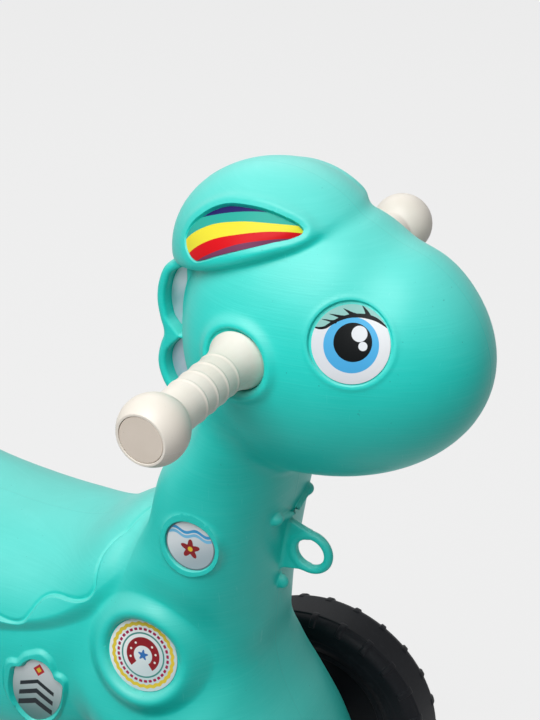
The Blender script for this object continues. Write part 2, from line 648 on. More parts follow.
def net_over(lines, form):
    """Triangles between the samples inside and outside a form: one corner for each cell that the skin
    crosses, at the mean of the crossings on the cell's edges, and two triangles across each crossed edge."""
    shape = tuple(len(line) for line in lines)
    grid = np.stack(np.meshgrid(*lines, indexing="ij"), axis=-1).reshape(-1, 3)
    values = np.concatenate([form(part) for part in np.array_split(grid, 24)]).reshape(shape)
    inside = values < 0
    cells = tuple(n - 1 for n in shape)
    count = np.zeros(cells, int)
    for corner in np.ndindex(2, 2, 2):
        count += inside[tuple(slice(c, c + n) for c, n in zip(corner, cells))]
    active = np.argwhere((count > 0) & (count < 8))
    index = np.full(cells, -1)
    index[tuple(active.T)] = np.arange(len(active))

    total, hits = np.zeros((len(active), 3)), np.zeros(len(active))
    for axis in range(3):
        for a, b in np.ndindex(2, 2):
            start = np.zeros(3, int)
            start[(axis + 1) % 3], start[(axis + 2) % 3] = a, b
            first = active + start
            second = first + np.eye(3, dtype=int)[axis]
            v0, v1 = values[tuple(first.T)], values[tuple(second.T)]
            crossed = (v0 < 0) != (v1 < 0)
            share = np.where(crossed, v0 / np.where(crossed, v0 - v1, 1.0), 0.0)
            p0 = np.stack([lines[k][first[:, k]] for k in range(3)], axis=1)
            p1 = np.stack([lines[k][second[:, k]] for k in range(3)], axis=1)
            total += (p0 + (p1 - p0) * share[:, None]) * crossed[:, None]
            hits += crossed
    points = total / hits[:, None]

    faces = []
    for axis in range(3):
        order = (axis, (axis + 1) % 3, (axis + 2) % 3)
        solid, cell = inside.transpose(order), index.transpose(order)
        first, second = solid[:-1, 1:-1, 1:-1], solid[1:, 1:-1, 1:-1]
        around = np.stack([cell[:, :-1, :-1], cell[:, 1:, :-1], cell[:, 1:, 1:], cell[:, :-1, 1:]], axis=-1)
        faces.append(around[first & ~second])
        faces.append(around[~first & second][:, ::-1])
    quads = np.concatenate(faces)
    diagonals = [np.linalg.norm(points[quads[:, i]] - points[quads[:, i + 2]], axis=1) for i in (0, 1)]
    quads = np.where((diagonals[0] <= diagonals[1])[:, None], quads, np.roll(quads, 1, axis=1))
    return points, np.concatenate([quads[:, [0, 1, 2]], quads[:, [0, 2, 3]]])


def refine(points, faces, form, tolerance, shortest):
    """Halves each edge whose middle lies off the skin by more than the tolerance, and cuts up its faces."""
    ends = np.sort(faces[:, [[0, 1], [1, 2], [2, 0]]].reshape(-1, 2), axis=1)
    edges, of_face = np.unique(ends, axis=0, return_inverse=True)
    of_face = of_face.reshape(-1, 3)
    start, stop = points[edges[:, 0]], points[edges[:, 1]]
    middles = (start + stop) / 2
    length = np.linalg.norm(stop - start, axis=1)
    wrong = (np.abs(form(middles)) > tolerance) & (length > shortest)
    # A face with any wrong edge also halves its edges that are more than twice the shortest
    busy = wrong[of_face].any(axis=1)
    spread = np.zeros(len(edges), bool)
    spread[of_face[busy].ravel()] = True
    wrong |= spread & (length > 2 * shortest)
    fresh = np.full(len(edges), -1)
    fresh[wrong] = len(points) + np.arange(wrong.sum())
    points = np.vstack([points, settle(middles[wrong], form, 2)])
    cut = fresh[of_face]
    halves = (cut >= 0).sum(axis=1)
    # Each face is turned until its cut edges come first
    turn = np.zeros(len(faces), int)
    turn[(halves == 1) & (cut[:, 1] >= 0)] = 1
    turn[(halves == 1) & (cut[:, 2] >= 0)] = 2
    turn[(halves == 2) & (cut[:, 0] < 0)] = 1
    turn[(halves == 2) & (cut[:, 1] < 0)] = 2
    pick = (np.arange(3)[None, :] + turn[:, None]) % 3
    a, b, c = np.take_along_axis(faces, pick, axis=1).T
    ab, bc, ca = np.take_along_axis(cut, pick, axis=1).T
    patterns = {
        0: [(a, b, c)],
        1: [(a, ab, c), (ab, b, c)],
        2: [(ab, b, bc), (a, ab, bc), (a, bc, c)],
        3: [(a, ab, ca), (ab, b, bc), (ca, bc, c), (ab, bc, ca)],
    }
    made = [np.stack(corners, axis=1)[halves == n] for n, rows in patterns.items() for corners in rows]
    return points, np.concatenate(made)


def spaced(*stretches):
    """Grid lines from stretches of (start, stop, spacing), each ending where the next starts."""
    parts = [np.linspace(a, b, max(2, round(abs(b - a) / step) + 1))[:-1] for a, b, step in stretches]
    return np.concatenate(parts + [[stretches[-1][1]]])


# Meshes


def outwards(points, faces):
    """The triangles, all turned round if the volume that they close comes out negative."""
    a, b, c = (points[faces[:, k]] for k in range(3))
    return faces if (np.cross(a, b) * c).sum() > 0 else faces[:, ::-1]


def triangles(quads):
    """Two triangles for each four-sided face."""
    return np.concatenate([quads[:, [0, 1, 2]], quads[:, [0, 2, 3]]])


def unit(vectors):
    """Each vector divided by its own length."""
    return vectors / np.maximum(np.linalg.norm(vectors, axis=-1, keepdims=True), 1e-12)


def in_scene(name, data):
    """A new object in the scene for a mesh, a lamp or a camera."""
    made = bpy.data.objects.new(name, data)
    bpy.context.scene.collection.objects.link(made)
    return made


def piece(name, node, points, faces, normals, finish, slot, body="body", flat=None, marks=None):
    """A finished piece that stands for a node and rides on a body, from corners about the handle's axis.

    flat holds each corner's place on a print, in millimetres, and marks holds its named attributes.
    """
    faces = outwards(points, faces)
    mesh = bpy.data.meshes.new(name)
    mesh.from_pydata((points + HANDLE).tolist(), [], faces.tolist())
    mesh.normals_split_custom_set_from_vertices(normals.tolist())
    if flat is not None:
        layer = mesh.uv_layers.new(name="print")
        layer.uv.foreach_set("vector", flat[faces.ravel()].ravel())
    for label, values in (marks or {}).items():
        mesh.attributes.new(label, "FLOAT", "POINT").data.foreach_set("value", values)
    mesh.materials.append(finish.material)
    made = in_scene(name, mesh)
    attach(made, body)
    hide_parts(node)


def eased(corners, steps=6):
    """A line through (radius, along, fillet) corners, each fillet an arc that meets both its sides."""
    line = []
    for i, (radius, along, fillet) in enumerate(corners):
        here = np.array((radius, along))
        if not fillet:
            line.append(here[None])
            continue
        before = unit(np.array(corners[i - 1][:2]) - here)
        after = unit(np.array(corners[(i + 1) % len(corners)][:2]) - here)
        half = math.acos(np.clip(before @ after, -1.0, 1.0)) / 2
        middle = here + unit(before + after) * fillet / math.sin(half)
        spokes = np.array([here + side * fillet / math.tan(half) - middle for side in (before, after)])
        angles = np.arctan2(spokes[:, 1], spokes[:, 0])
        sweep = (angles[1] - angles[0] + math.pi) % math.tau - math.pi
        turn = angles[0] + sweep * np.linspace(0.0, 1.0, steps)
        line.append(middle + fillet * np.stack([np.cos(turn), np.sin(turn)], axis=1))
    return np.vstack(line)


def woven_faces(index):
    """Triangles over rows and columns of corners that close both ways."""
    below = np.roll(index, -1, axis=0)
    quads = np.stack([index, np.roll(index, -1, axis=1), np.roll(below, -1, axis=1), below], axis=-1)
    return triangles(quads.reshape(-1, 4))


def turned(line, count, centre, side):
    """A line of (radius, along) points carried round an axis along Y, at x = radius * cos, z = radius * sin.

    A line that starts and ends on the axis closes at two poles. Any other line closes on itself. Normals are
    square to the line that joins the neighbours before and after a point, so a long flat side stays flat.
    """
    poles = line[0, 0] == 0.0
    slope = np.roll(line, -1, axis=0) - np.roll(line, 1, axis=0)
    if poles:
        slope[0], slope[-1] = line[1] - line[0], line[-1] - line[-2]
    facing = unit(np.stack([slope[:, 1], -slope[:, 0]], axis=1))
    ring = line[1:-1] if poles else line
    ring_facing = facing[1:-1] if poles else facing
    area = (line[:, 0] * np.roll(line[:, 1], -1) - np.roll(line[:, 0], -1) * line[:, 1]).sum()
    sign = math.copysign(1.0, area)
    angle = math.tau * np.arange(count) / count
    spokes = np.stack([np.cos(angle), 0 * angle, np.sin(angle)], axis=1)

    def carried(rows):
        across = spokes[:, None, :] * rows[None, :, :1]
        return (across + np.array((0.0, side, 0.0)) * rows[None, :, 1:]).reshape(-1, 3)

    points, normals = carried(ring), carried(ring_facing) * sign
    n = len(ring)
    index = np.arange(count * n).reshape(count, n)
    following = np.roll(index, -1, axis=0)
    if poles:
        here, there = index[:, :-1], following[:, :-1]
        quads = np.stack([here, index[:, 1:], following[:, 1:], there], axis=-1)
        start, stop = len(points), len(points) + 1
        fans = np.concatenate([np.stack([np.full(count, start), index[:, 0], following[:, 0]], axis=1),
                               np.stack([np.full(count, stop), following[:, -1], index[:, -1]], axis=1)])
        ends = np.array([(0.0, side * line[0, 1], 0.0), (0.0, side * line[-1, 1], 0.0)])
        points = np.vstack([points, ends])
        out = math.copysign(1.0, line[0, 1] - line[-1, 1]) * side
        normals = np.vstack([normals, [(0.0, out, 0.0), (0.0, -out, 0.0)]])
        faces = np.concatenate([triangles(quads.reshape(-1, 4)), fans])
    else:
        faces = woven_faces(index)
    return points + centre, faces, normals


def woven(grid, centre):
    """Corners, triangles and normals from a grid of points about a centre that closes both ways."""
    faces = woven_faces(np.arange(grid[..., 0].size).reshape(grid.shape[:2]))
    around = np.roll(grid, -1, axis=0) - np.roll(grid, 1, axis=0)
    along = np.roll(grid, -1, axis=1) - np.roll(grid, 1, axis=1)
    points = grid.reshape(-1, 3)
    normals = unit(np.cross(along, around)).reshape(-1, 3)
    if outwards(points, faces) is not faces:
        normals = -normals
    return points + centre, faces, normals


# Materials
TEAL_DEEP = (0.0080, 0.625, 0.545, 1.0)
TEAL_LIGHT = (0.0160, 0.680, 0.600, 1.0)
TEAL_PALE = (0.1200, 0.820, 0.760, 1.0)
TEAL_DARK = (0.0020, 0.120, 0.110, 1.0)
MOULD_LINE = math.radians(-17.0)
STRIPE_COLOURS = ("753B5B", "D5161F", "E8DC3C", "2FA898", "27205F")


def tint(code):
    """A screen colour written in hexadecimal, as the light that it stands for."""
    shares = np.array([int(code[k:k + 2], 16) for k in (0, 2, 4)]) / 255.0
    linear = np.where(shares <= 0.04045, shares / 12.92, ((shares + 0.055) / 1.055) ** 2.4)
    return (*linear.tolist(), 1.0)


def step(operation, swapped=False):
    """A method that joins a value and another value or number by one step of shader maths."""
    def method(self, other):
        inputs = (other, self) if swapped else (self, other)
        return self.nodes.node("ShaderNodeMath", {"operation": operation}, dict(enumerate(inputs)))
    return method


class Value:
    """A socket of a material, worked on with the usual signs."""

    def __init__(self, nodes, socket):
        self.nodes, self.socket = nodes, socket

    def maths(self, operation, *others):
        return self.nodes.node("ShaderNodeMath", {"operation": operation}, dict(enumerate((self, *others))))

    def __abs__(self):
        return self.maths("ABSOLUTE")

    __add__ = __radd__ = step("ADD")
    __mul__ = __rmul__ = step("MULTIPLY")
    __sub__, __rsub__ = step("SUBTRACT"), step("SUBTRACT", swapped=True)
    __truediv__, __rtruediv__ = step("DIVIDE"), step("DIVIDE", swapped=True)
    __lt__, __gt__ = step("LESS_THAN"), step("GREATER_THAN")

    def fade(self, low, high):
        """Rises smoothly from 0 at low to 1 at high."""
        smooth = {"interpolation_type": "SMOOTHSTEP"}
        return self.nodes.node("ShaderNodeMapRange", smooth, {0: self, 1: low, 2: high})

    def bell(self, middle, spread):
        """1 at the middle, falling smoothly to 0 a spread away."""
        return 1.0 - abs(self - middle).fade(0.0, spread)


class Nodes:
    """A tree of nodes, grown one node at a time."""

    def __init__(self, tree):
        self.tree = tree

    def node(self, kind, settings=None, inputs=None, output=0):
        """A node of a kind, with its settings made first and then its sockets filled with values or links."""
        made = self.tree.nodes.new(kind)
        for label, value in (settings or {}).items():
            setattr(made, label, value)
        for key, value in (inputs or {}).items():
            if isinstance(value, Value):
                self.tree.links.new(value.socket, made.inputs[key])
            else:
                made.inputs[key].default_value = value
        return Value(self, made.outputs[output])

    def split(self, vector):
        """The three parts of a vector."""
        first = self.node("ShaderNodeSeparateXYZ", inputs={0: vector})
        return [Value(self, socket) for socket in first.socket.node.outputs]

    def mix(self, factor, first, second):
        """A colour between two, all of the second where the factor is 1."""
        return self.node("ShaderNodeMix", {"data_type": "RGBA"}, {0: factor, 6: first, 7: second}, 2)

    def ink(self, colour, distance, code, soft=0.12):
        """A colour with another printed over it wherever a distance in millimetres is negative."""
        return self.mix(1.0 - distance.fade(-soft, soft), colour, tint(code))

    def stretched(self, where, scale):
        return self.node("ShaderNodeVectorMath", {"operation": "MULTIPLY"}, {0: where, 1: scale})

    def noise(self, where, scale, detail=2.0, rough=0.5):
        inputs = {"Vector": where, "Scale": scale, "Detail": detail, "Roughness": rough}
        return self.node("ShaderNodeTexNoise", inputs=inputs)

    def mark(self, label):
        return self.node("ShaderNodeAttribute", {"attribute_name": label}, output="Fac")


class Finish(Nodes):
    """A material made of nodes on one Principled shader, whose unchanging numbers are set on its sockets."""

    def __init__(self, name, **sockets):
        self.material = bpy.data.materials.new(name)
        self.material.use_nodes = True
        super().__init__(self.material.node_tree)
        self.shader = self.tree.nodes["Principled BSDF"]
        for label, value in sockets.items():
            self.shader.inputs[label.replace("_", " ").title().replace("Ior", "IOR")].default_value = value

    def place(self):
        return self.node("ShaderNodeTexCoord", output="Object")

    def print_place(self):
        """Forward and up on a print, in millimetres."""
        return self.split(self.node("ShaderNodeUVMap", {"uv_map": "print"}))[:2]

    def feed(self, **values):
        for label, value in values.items():
            self.tree.links.new(value.socket, self.shader.inputs[label.replace("_", " ").title()])

    def bump(self, height, distance, strength=1.0):
        inputs = {"Strength": strength, "Distance": distance, "Height": height}
        self.feed(normal=self.node("ShaderNodeBump", inputs=inputs))


def teal_finish():
    """Satin blown plastic: fine grain, level draw lines, mottling, specks, scuffs and a pale bloom on top."""
    made = Finish("teal_plastic", specular_ior_level=0.33)
    where = made.place()
    cloud = made.noise(where, 14.0, 3.0)
    grain = made.noise(where, 1500.0, 2.0)
    lines = made.noise(made.stretched(where, (26.0, 26.0, 1150.0)), 1.0, 3.0, 0.62)
    waves = made.noise(made.stretched(where, (60.0, 60.0, 420.0)), 1.0, 2.0)
    scuffs = made.noise(made.stretched(where, (900.0, 260.0, 40.0)), 1.0, 1.0).fade(0.735, 0.80)
    specks = made.noise(where, 700.0, 0.0).fade(0.855, 0.88)
    facing = made.node("ShaderNodeNewGeometry", output="Normal")
    bloom = made.split(facing)[2].fade(0.05, 1.0)
    seam = 1.0 - abs(made.split(where)[1]).fade(0.0002, 0.0008)
    colour = made.mix(cloud.fade(0.3, 0.7), TEAL_DEEP, TEAL_LIGHT)
    colour = made.mix(lines.fade(0.42, 0.72) * 0.10, colour, TEAL_PALE)
    colour = made.mix(scuffs * 0.22, colour, TEAL_PALE)
    colour = made.mix(bloom * 0.13, colour, tint("F4FAF8"))
    colour = made.mix(specks * 0.35, colour, TEAL_DARK)
    colour = made.mix(seam * 0.05, colour, TEAL_DARK)
    rough = 0.33 + grain * 0.10 + cloud * 0.06 - scuffs * 0.08
    made.feed(base_color=colour, roughness=rough)
    made.bump(grain * 0.35 + lines * 0.9 + waves * 0.5, 0.00014, 0.75)
    return made


def cream_finish(name, light, deep, line_strength):
    """Satin moulded plastic with a fine grain, and a thin moulding line along each side of the handle."""
    made = Finish(name, specular_ior_level=0.5)
    where = made.place()
    inputs = {0: where, 1: tuple(HANDLE.tolist())}
    x, _, z = made.split(made.node("ShaderNodeVectorMath", {"operation": "SUBTRACT"}, inputs))
    off_line = abs(z * math.cos(MOULD_LINE) - x * math.sin(MOULD_LINE))
    ahead = x * math.cos(MOULD_LINE) + z * math.sin(MOULD_LINE)
    line = (1.0 - off_line.fade(0.00012, 0.00034)) * (ahead > 0.004) * line_strength
    cloud = made.noise(where, 30.0, 3.0)
    grain = made.noise(where, 1400.0, 2.0)
    specks = made.noise(where, 700.0, 0.0).fade(0.86, 0.89)
    colour = made.mix(cloud.fade(0.3, 0.7), deep, light)
    colour = made.mix(line * 0.5, colour, tint("FAF8F2"))
    colour = made.mix(specks * 0.3, colour, tint("A79C8C"))
    made.feed(base_color=colour, roughness=0.36 + grain * 0.10 + cloud * 0.05)
    made.bump(grain * 0.2 + line * 1.6, 0.00012, 0.7)
    return made


def black_finish(name, base, rough, scuff):
    """Black moulded plastic: fine grain, a little dust in the light and faint scuffs."""
    made = Finish(name, specular_ior_level=0.13)
    where = made.place()
    cloud = made.noise(where, 45.0, 4.0)
    grain = made.noise(where, 1100.0, 2.0)
    dust = made.noise(where, 160.0, 3.0, 0.7).fade(0.52, 0.80)
    colour = made.mix(cloud, tint(base), tint("1F2126"))
    colour = made.mix(dust * scuff, colour, tint("4A4C50"))
    made.feed(base_color=colour, roughness=rough + grain * 0.12 + dust * 0.08)
    made.bump(grain * 0.5 + cloud * 0.3, 0.00015, 0.6)
    return made


def steel_finish():
    """Zinc plate: a bright grey metal with faint spangle and fine draw marks along the bar."""
    made = Finish("zinc_steel", metallic=1.0)
    where = made.place()
    spangle = made.node("ShaderNodeTexVoronoi", {"feature": "F1"}, {"Vector": where, "Scale": 420.0}, "Color")
    drawn = made.noise(made.stretched(where, (900.0, 30.0, 900.0)), 1.0, 2.0)
    patch = made.split(spangle)[0]
    colour = made.mix(patch, tint("B6B9BC"), tint("D2D4D6"))
    made.feed(base_color=colour, roughness=0.28 + drawn * 0.16 + patch * 0.06)
    made.bump(drawn, 0.00004, 0.5)
    return made


def white_plastic_finish():
    """Plain white moulded plastic with a fine grain."""
    made = Finish("bush_plastic", specular_ior_level=0.5)
    where = made.place()
    cloud = made.noise(where, 60.0, 3.0)
    grain = made.noise(where, 1200.0, 2.0)
    made.feed(base_color=made.mix(cloud, tint("D9D9D4"), tint("E9E9E6")), roughness=0.40 + grain * 0.12)
    made.bump(grain, 0.00008, 0.5)
    return made


def film(made, colour, rough=0.30):
    """Finishes a print as smooth vinyl: a faint wave and grain in its face."""
    where = made.place()
    wave = made.noise(where, 90.0, 2.0)
    grain = made.noise(where, 2200.0, 1.0)
    made.feed(base_color=colour, roughness=rough + grain * 0.05 + wave * 0.06)
    made.bump(wave * 0.7 + grain * 0.15, 0.00010, 0.5)
    return made


def disc(u, v, middle, radius):
    """Distance to a disc on a print."""
    du, dv = u - middle[0], v - middle[1]
    return (du * du + dv * dv).maths("SQRT") - radius


def eye_finish():
    """A white eye with a blue iris, a black pupil and two glints, under a green lid and black lashes."""
    made = Finish("eye_print", specular_ior_level=0.10)
    u, v = made.print_place()
    colour = made.mix((u + v).fade(-30.0, 30.0), tint("DCE0E6"), tint("E3E7EA"))
    iris = made.mix(v.fade(-16.0, 14.0), tint("4CA9DF"), tint("56B3E4"))
    colour = made.mix(1.0 - disc(u, v, (0.26, -0.25), 15.69).fade(-0.12, 0.12), colour, iris)
    colour = made.ink(colour, disc(u, v, (1.08, 1.41), 10.9), "05090B")
    colour = made.ink(colour, disc(u, v, (4.46, 6.38), 4.48), "E1E5E9")
    colour = made.ink(colour, disc(u, v, (6.88, -0.38), 2.54), "E1E5E9")
    colour = made.mix(made.mark("lid").fade(-0.06, 0.06), colour, tint("90C3BD"))
    return film(made, made.ink(colour, made.mark("lash"), "080D10", 0.07))


def stripe_finish():
    """Five bands of colour, each one whole number further up the mark that counts the borders."""
    made = Finish("stripe_print", specular_ior_level=0.10)
    band = made.mark("band")
    colour = tint(STRIPE_COLOURS[0])
    for index, code in enumerate(STRIPE_COLOURS[1:]):
        colour = made.mix(band.fade(index + 0.98, index + 1.02), colour, tint(code))
    return film(made, colour)


def neck_badge_finish():
    """A silver disc with two light blue waves and a plain five-petalled flower."""
    made = Finish("neck_badge_print", specular_ior_level=0.22)
    u, v = made.print_place()
    colour = made.mix((v - 0.5 * u).fade(-15.0, 12.0), tint("A9BAC2"), tint("E6EDF1"))
    for level, code in ((9.6, "3FA4DE"), (6.6, "7CC6EC")):
        sway = (u * 0.42).maths("SINE") * 1.2
        colour = made.ink(colour, abs(v - level - sway) - 1.05, code)
    colour = made.ink(colour, made.mark("flower"), "8E1B22")
    colour = made.ink(colour, disc(u, v, (0.0, -2.6), 1.7), "E9C63B")
    rim = (u * u + v * v).maths("SQRT")
    colour = made.mix(rim.fade(16.1, 16.4), colour, tint("6E7F88"))
    return film(made, colour, 0.26)


def shoulder_badge_finish():
    """A white disc with a scalloped yellow ring, a dotted crimson ring and a horseshoe about a star."""
    made = Finish("shoulder_badge_print", specular_ior_level=0.22)
    u, v = made.print_place()
    reach = (u * u + v * v).maths("SQRT")
    turn = v.maths("ARCTAN2", u)
    colour = made.mix((v - u).fade(-22.0, 22.0), tint("C9DADD"), tint("EEF2F2"))
    colour = made.ink(colour, abs(reach - 21.6 - (turn * 28.0).maths("COSINE") * 0.35) - 1.25, "E3C73F", 0.10)
    bead = ((turn * 32.0).maths("COSINE") + 0.9) * (1.0 - abs(reach - 18.1).fade(0.65, 1.05))
    colour = made.mix(bead.fade(0.30, 0.45), colour, tint("A3174B"))
    colour = made.ink(colour, abs(reach - 15.2) - 0.55, "3F8E86", 0.10)
    colour = made.ink(colour, made.mark("shoe"), "8E1620")
    colour = made.ink(colour, made.mark("nails"), "F2EFEA", 0.10)
    return film(made, made.ink(colour, made.mark("stars"), "2F6FB4", 0.10), 0.26)


def shield_finish():
    """Silver shading to grey green, with three dark chevrons under a red and yellow diamond."""
    made = Finish("shield_print", specular_ior_level=0.22)
    u, v = made.print_place()
    colour = made.mix(v.fade(-34.0, 18.0), tint("5E8F8E"), tint("DCE3E6"))
    peak = v + abs(u) * 0.55
    for level, half in ((2.0, 1.7), (-6.5, 2.1), (-15.6, 2.5)):
        chevron = abs(peak - level) - half
        colour = made.mix((1.0 - chevron.fade(-0.12, 0.12)) * (abs(u) < 12.6), colour, tint("15232A"))
    diamond = abs(u) + abs(v - 12.0) * 0.8
    colour = made.ink(colour, diamond - 4.2, "C02030", 0.10)
    return film(made, made.ink(colour, diamond - 2.0, "EBCB3C", 0.10), 0.26)


def silver_finish():
    """Brushed silver film, lighter above and grey green in the middle of each panel."""
    made = Finish("silver_print", specular_ior_level=0.4)
    u, v = made.print_place()
    shade = (u * 0.9 - v * 0.6).maths("SINE") * 0.5 + 0.5
    colour = made.mix(v.fade(-40.0, 26.0), tint("B9C6D4"), tint("C9DCE2"))
    deep = v.bell(2.0, 13.0)
    colour = made.mix(deep * 0.75, colour, tint("7FB7BC"))
    colour = made.mix(shade * 0.06, colour, tint("F2F6F8"))
    made.feed(metallic=0.25 + deep * 0.1)
    return film(made, colour, 0.28)


TEAL = teal_finish()
CREAM = cream_finish("cream_plastic", tint("EBE5DB"), tint("E5DED2"), 1.0)
CAP = cream_finish("cap_plastic", tint("DFD3C6"), tint("D8CCBE"), 0.0)
TYRE = black_finish("tyre_plastic", "141519", 0.42, 0.12)
HUB = black_finish("hub_plastic", "17181B", 0.40, 0.10)
STEEL = steel_finish()
BUSH = white_plastic_finish()


# The body


SKIN_TOLERANCE = 0.00003
SHORTEST_EDGES = (0.0016, 0.0010, 0.0006, 0.0004)


def body_piece():
    """The skin: a net with finer cells over the fore half and along the parting line, then refined."""
    lines = (spaced((-0.4440, -0.1260, 0.0060), (-0.1260, 0.1380, 0.0030)),
             spaced((-0.0960, -0.0030, 0.0031), (-0.0030, 0.0030, 0.0010), (0.0030, 0.0960, 0.0031)),
             spaced((-0.4320, -0.2400, 0.0048), (-0.2400, 0.1050, 0.0030)))
    points, faces = net_over(lines, shell)
    points = settle(points, shell, 4)
    for shortest in SHORTEST_EDGES:
        points, faces = refine(points, faces, shell, SKIN_TOLERANCE, shortest)
    piece("blown_body", "body_shell", points, faces, unit(slopes(points, shell)), TEAL, "teal_plastic")


# Prints


def thin_sheet(name, top, down, face, rim, finish, slot, flat, marks, normals):
    """A sheet as thick as a print on both sides of the body: its face, its back and the edge between them."""
    count = len(top)
    bottom = top + down
    edge = np.stack([np.roll(rim, -1), rim, rim + count, np.roll(rim, -1) + count], axis=1)
    points = np.vstack([top, bottom])
    faces = np.concatenate([face, face[:, ::-1] + count, triangles(edge)])
    both = {label: np.tile(values, 2) for label, values in marks.items()}
    for side, sign in SIDES.items():
        flip = np.array((1.0, -sign, 1.0))
        label = side + "_" + name
        facing = np.vstack([normals, -normals]) * flip
        piece(label + "_film", label, points * flip, faces, facing, finish, slot, flat=np.tile(flat, (2, 1)),
              marks=both)


def print_film(name, outline, middle, place, rings, finish, slot, marks=None, roll=0.0):
    """A print inside an outline: rings about its middle, lowered along its place's facing onto the skin."""
    share = np.linspace(0.0, 1.0, rings + 1)[1:, None, None]
    middle = np.asarray(middle, float)
    flat = np.vstack([middle[None], (middle + (outline - middle) * share).reshape(-1, 2)])
    forward, up, outward = place_axes(place)
    points = np.array(place[0]) + flat[:, :1] * forward + flat[:, 1:] * up + outward * 0.012
    for _ in range(16):
        points = points - outward * 0.9 * shell(points)[:, None]
    normals = unit(slopes(points, shell, 0.0004))
    n = len(outline)
    index = 1 + np.arange(rings * n).reshape(rings, n)
    beside = np.roll(index, -1, axis=1)
    fan = np.stack([np.zeros(n, int), index[0], beside[0]], axis=1)
    quads = np.stack([index[:-1], index[1:], beside[1:], beside[:-1]], axis=-1).reshape(-1, 4)
    face = np.concatenate([fan, triangles(quads)])
    place_on_print = rolled(flat, -roll) * 1000.0
    named = marks(*place_on_print.T) if marks else {}
    thin_sheet(name, points + outward * PRINT, -outward * (PRINT - PRINT_GAP), face, index[-1], finish, slot,
               place_on_print, named, normals)


def round_outline(radius, count=256):
    """Points round a circle, radius * (cos t, sin t)."""
    angle = math.tau * np.arange(count) / count
    return radius * np.stack([np.cos(angle), np.sin(angle)], axis=1)


def dabs(u, v, strokes):
    """Distance to brush strokes: each a row of (u, v, radius) knots, dabbed closely along a smooth curve."""
    least = np.full(u.shape, 99.0)
    for stroke in strokes:
        knots = np.asarray(stroke, float)
        reach = run_along(knots[:, :2])
        places = np.linspace(0.0, reach[-1], max(24, int(reach[-1] * 5)))
        for du, dv, radius in spline(reach, knots, places):
            least = np.minimum(least, np.hypot(u - du, v - dv) - radius)
    return least


# The lid line and the lashes over the eye, in millimetres: forward, up and half thickness
LID_LINE = (
    (20.3, 10.3, 0.15), (17.6, 12.3, 0.55), (13.4, 14.7, 1.00), (8.6, 16.0, 1.20), (3.0, 16.3, 1.10),
    (-3.0, 15.4, 1.00), (-8.4, 13.2, 0.95), (-12.4, 10.6, 0.90), (-15.2, 8.7, 0.80), (-18.4, 8.1, 0.65),
    (-21.4, 8.5, 0.30),
)
LASHES = (
    ((8.8, 16.5, 1.25), (7.9, 17.8, 1.10), (6.7, 19.6, 0.70), (4.5, 22.2, 0.10)),
    ((1.6, 16.4, 1.10), (-0.6, 17.0, 1.00), (-2.8, 18.2, 0.65), (-5.6, 19.8, 0.10)),
    ((-4.6, 14.9, 1.00), (-7.2, 15.2, 0.80), (-10.1, 15.8, 0.48), (-13.6, 16.4, 0.08)),
    ((-9.6, 12.2, 1.0), (-11.7, 12.4, 0.60), (-14.6, 12.9, 0.38), (-18.2, 13.2, 0.08)),
)


def eye_marks(u, v):
    """Distances to the lashes and up from the lid line."""
    line = np.array(LID_LINE)[::-1]
    return {"lash": dabs(u, v, (LID_LINE, *LASHES)), "lid": v - np.interp(u, line[:, 0], line[:, 1])}


# The borders between the forelock's stripes, from the lowest up, in millimetres
STRIPE_BORDERS = (
    ((-36.0, -25.0), (-28.0, -20.6), (-15.1, -14.1), (-1.8, -7.3), (12.5, -1.4), (26.1, 4.2), (32.0, 6.4)),
    ((-42.0, -21.8), (-36.2, -17.4), (-19.5, -7.9), (-3.4, -1.8), (11.1, 3.3), (30.4, 9.0)),
    ((-42.0, -11.2), (-40.2, -9.5), (-26.8, -1.0), (-6.0, 5.5), (12.9, 9.0), (29.3, 12.5)),
    ((-42.0, 1.0), (-35.3, 3.3), (-16.4, 9.0), (-0.6, 13.0), (8.3, 14.8), (30.0, 17.0)),
)


def stripe_marks(u, v):
    """How many borders lie below a point, with fractions that fall to a whole number on each border."""
    levels = [spline([p[0] for p in line], [[p[1]] for p in line], u)[:, 0] for line in STRIPE_BORDERS]
    band = np.clip((v - levels[0]) / 2.0 + 1.0, 0.0, 1.0)
    for low, high in zip(levels, levels[1:]):
        band = band + np.clip((v - low) / (high - low), 0.0, 1.0)
    return {"band": band + np.clip((v - levels[-1]) / 2.0, 0.0, 1.0)}


def flower_marks(u, v):
    """Distance to five petals, r = 5.2 + 1.7 cos 5t about a point below the middle."""
    du, dv = u, v + 2.6
    return {"flower": np.hypot(du, dv) - 5.2 - 1.7 * np.cos(5.0 * np.arctan2(du, dv))}


def horseshoe_marks(u, v):
    """A horseshoe open below, its nails, and a star in its middle."""
    reach, turn = np.hypot(u, v), np.arctan2(u, v)
    shoe = np.maximum(np.abs(reach - 9.4) - 3.0 + 0.6 * np.abs(turn) / math.pi, (np.abs(turn) - 2.45) * 9.4)
    nails = np.full(u.shape, 99.0)
    for angle in (-1.9, -1.3, -0.7, 0.7, 1.3, 1.9):
        nails = np.minimum(nails, np.hypot(u - 9.4 * math.sin(angle), v - 9.4 * math.cos(angle)) - 0.8)
    star = reach * (1.0 - 0.32 * np.cos(5.0 * turn)) - 2.6
    return {"shoe": shoe, "nails": nails, "stars": star}


